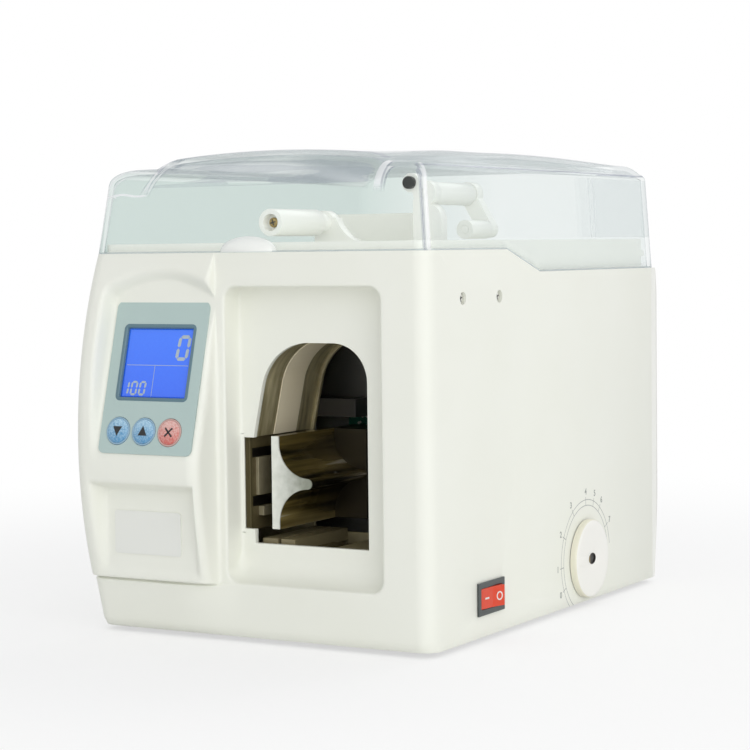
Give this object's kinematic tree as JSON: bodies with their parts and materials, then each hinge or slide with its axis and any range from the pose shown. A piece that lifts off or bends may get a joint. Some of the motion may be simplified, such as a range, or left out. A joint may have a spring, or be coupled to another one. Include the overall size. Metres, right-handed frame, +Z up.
{
  "type": "banknote strapping machine",
  "caption": "Tabletop machine that puts a paper band round a bundle of notes: sloping control console, arched note opening with a clamp, clear hinged lid, power rocker and setting dial.",
  "frame": {"origin": "centre of the bounding box at the underside of the rubber feet", "axes": "+Z up; the front with the console and the note opening faces -Y; +X towards the side with the power rocker and the dial"},
  "size_m": [0.1886, 0.2876, 0.2314],
  "materials": {
    "body_shell": "fine satin moulded",
    "back_cover": "fine satin moulded",
    "deck": "satin moulded",
    "well": "satin moulded",
    "clear_lid": "clear tinted plastic",
    "plain_steel": "brushed",
    "zinc_steel": "zinc plated",
    "bronzed_steel": "dull, rolled",
    "bright_steel": "polished",
    "blade_steel": "ground",
    "brass": "turned",
    "foot_rubber": "matte",
    "belt_rubber": "matte",
    "roller_rubber": "ground",
    "panel_film": "satin film",
    "display_frame": "smooth",
    "display": "lit",
    "green_board": "solder mask",
    "blue_button": "smooth",
    "red_button": "smooth",
    "switch_body": "fine satin",
    "rocker_red": "smooth",
    "knob_white": "satin",
    "black_plastic": "satin",
    "label_plastic": "satin film",
    "beige_nylon": "satin",
    "pad_rubber": "matte",
    "brown_plastic": "satin",
    "white_acetal": "smooth",
    "black_anodised": "anodised",
    "motor_steel": "dark",
    "laminated_iron": "laminated"
  },
  "bodies": {
    "body": {"base_plate": "zinc_steel", "feet": "foot_rubber", "foot_screws": "plain_steel", "housing": "body_shell", "rear_cover": "back_cover", "rear_screws": "plain_steel", "side_screws": "white_acetal", "top_deck": "deck", "roll_well": "well", "hinge_pins": "plain_steel", "panel_overlay": "panel_film", "display_window": "display_frame", "display_module": "display", "control_board": "green_board", "switch_bezel": "switch_body", "dial_potentiometer": "zinc_steel", "mains_inlet": "black_plastic", "label_plate": "label_plastic", "front_side_plate": "bronzed_steel", "rear_side_plate": "bronzed_steel", "front_arch_guide": "bronzed_steel", "arch_liner": "beige_nylon", "rear_arch_guide": "bronzed_steel", "stop_plate": "brown_plastic", "guide_rods": "bright_steel", "rod_brackets": "plain_steel", "clamp_motor": "motor_steel", "sensor_block": "black_plastic", "sensor_board": "green_board", "feed_belt": "belt_rubber", "feed_motor": "motor_steel", "tape_channel": "beige_nylon", "guide_bracket": "white_acetal", "guide_screw": "brass", "tall_bracket": "white_acetal", "rubber_stop": "black_plastic", "transformer": "laminated_iron", "power_board": "green_board", "inner_brace": "zinc_steel"},
    "lid": {"lid": "clear_lid"},
    "down_button": {"button_down": "blue_button"},
    "up_button": {"button_up": "blue_button"},
    "clear_button": {"button_clear": "red_button"},
    "rocker": {"power_rocker": "rocker_red"},
    "dial": {"setting_knob": "knob_white"},
    "clamp": {"clamp_jaw": "bright_steel", "jaw_pad": "pad_rubber", "clamp_carriage": "black_anodised"},
    "clamp_lead_screw": {"clamp_screw": "plain_steel"},
    "feed_roll": {"feed_roller": "roller_rubber"},
    "pinch_roll": {"pinch_roller": "roller_rubber"},
    "drive_pulley": {"motor_pulley": "plain_steel"},
    "sealer": {"sealing_head": "bright_steel"},
    "cutter": {"cutter_blade": "blade_steel"},
    "cam": {"camshaft": "plain_steel"},
    "guide_roll": {"guide_roller": "white_acetal"},
    "tall_roll": {"tall_roller": "white_acetal"},
    "arm": {"tension_arm": "white_acetal"},
    "arm_roll": {"tension_roller": "white_acetal"},
    "hub": {"roll_hub": "white_acetal"}
  },
  "joints": [
    {"name": "lid_hinge", "type": "hinge", "parent": "body", "child": "lid", "pos_m": [0, 0.13655, 0.1747], "axis": [-1, 0, 0], "range_deg": [0, 100]},
    {"name": "down_press", "type": "slide", "parent": "body", "child": "down_button", "axis": [0, 0.9659, -0.2588], "range_m": [0, 0.0008], "stiffness_N_per_m": 400},
    {"name": "up_press", "type": "slide", "parent": "body", "child": "up_button", "axis": [0, 0.9659, -0.2588], "range_m": [0, 0.0008], "stiffness_N_per_m": 400},
    {"name": "clear_press", "type": "slide", "parent": "body", "child": "clear_button", "axis": [0, 0.9659, -0.2588], "range_m": [0, 0.0008], "stiffness_N_per_m": 400},
    {"name": "rocker_tilt", "type": "hinge", "parent": "body", "child": "rocker", "pos_m": [0.08675, -0.06675, 0.0204], "axis": [0, 0, 1], "range_deg": [0, 20]},
    {"name": "dial_turn", "type": "hinge", "parent": "body", "child": "dial", "pos_m": [0.08975, 0.04205, 0.0244], "axis": [1, 0, 0], "range_deg": [-135, 135]},
    {"name": "clamp_slide", "type": "slide", "parent": "body", "child": "clamp", "axis": [1, 0, 0], "range_m": [0, 0.026]},
    {"name": "clamp_screw_turn", "type": "hinge", "parent": "body", "child": "clamp_lead_screw", "pos_m": [0, -0.04215, 0.0738], "axis": [1, 0, 0], "range_deg": [-1180, 0]},
    {"name": "feed_turn", "type": "hinge", "parent": "body", "child": "feed_roll", "pos_m": [0.06175, -0.08495, 0.0245], "axis": [0, 1, 0], "continuous": true},
    {"name": "pinch_turn", "type": "hinge", "parent": "body", "child": "pinch_roll", "pos_m": [0.06175, -0.08495, 0.04], "axis": [0, 1, 0], "continuous": true},
    {"name": "pulley_turn", "type": "hinge", "parent": "body", "child": "drive_pulley", "pos_m": [0.03175, -0.04895, 0.0245], "axis": [0, 1, 0], "continuous": true},
    {"name": "sealer_lift", "type": "slide", "parent": "body", "child": "sealer", "axis": [0, 0, 1], "range_m": [0, 0.003]},
    {"name": "cutter_lift", "type": "slide", "parent": "body", "child": "cutter", "axis": [0, 0, 1], "range_m": [0, 0.006]},
    {"name": "cam_turn", "type": "hinge", "parent": "body", "child": "cam", "pos_m": [0.01775, -0.08495, 0.0165], "axis": [0, 1, 0], "continuous": true},
    {"name": "guide_turn", "type": "hinge", "parent": "body", "child": "guide_roll", "pos_m": [-0.00925, -0.07495, 0.1965], "axis": [0, 1, 0], "continuous": true},
    {"name": "tall_turn", "type": "hinge", "parent": "body", "child": "tall_roll", "pos_m": [0.05575, -0.03995, 0.2095], "axis": [0, 1, 0], "continuous": true},
    {"name": "arm_swing", "type": "hinge", "parent": "body", "child": "arm", "pos_m": [0.05575, -0.01795, 0.2095], "axis": [0, 1, 0], "range_deg": [-20, 20], "stiffness_Nm_per_rad": 0.06},
    {"name": "arm_roll_turn", "type": "hinge", "parent": "arm", "child": "arm_roll", "pos_m": [0.06575, -0.03195, 0.19218], "axis": [0, 1, 0], "continuous": true},
    {"name": "hub_turn", "type": "hinge", "parent": "body", "child": "hub", "pos_m": [0, 0.06405, 0.125], "axis": [1, 0, 0], "continuous": true}
  ],
  "couplings": [
    {"joint": "clamp_screw_turn", "follows": "clamp_slide", "rad_per_m": -785.4},
    {"joint": "pinch_turn", "follows": "feed_turn", "ratio": -1.5},
    {"joint": "pulley_turn", "follows": "feed_turn", "ratio": 1}
  ]
}
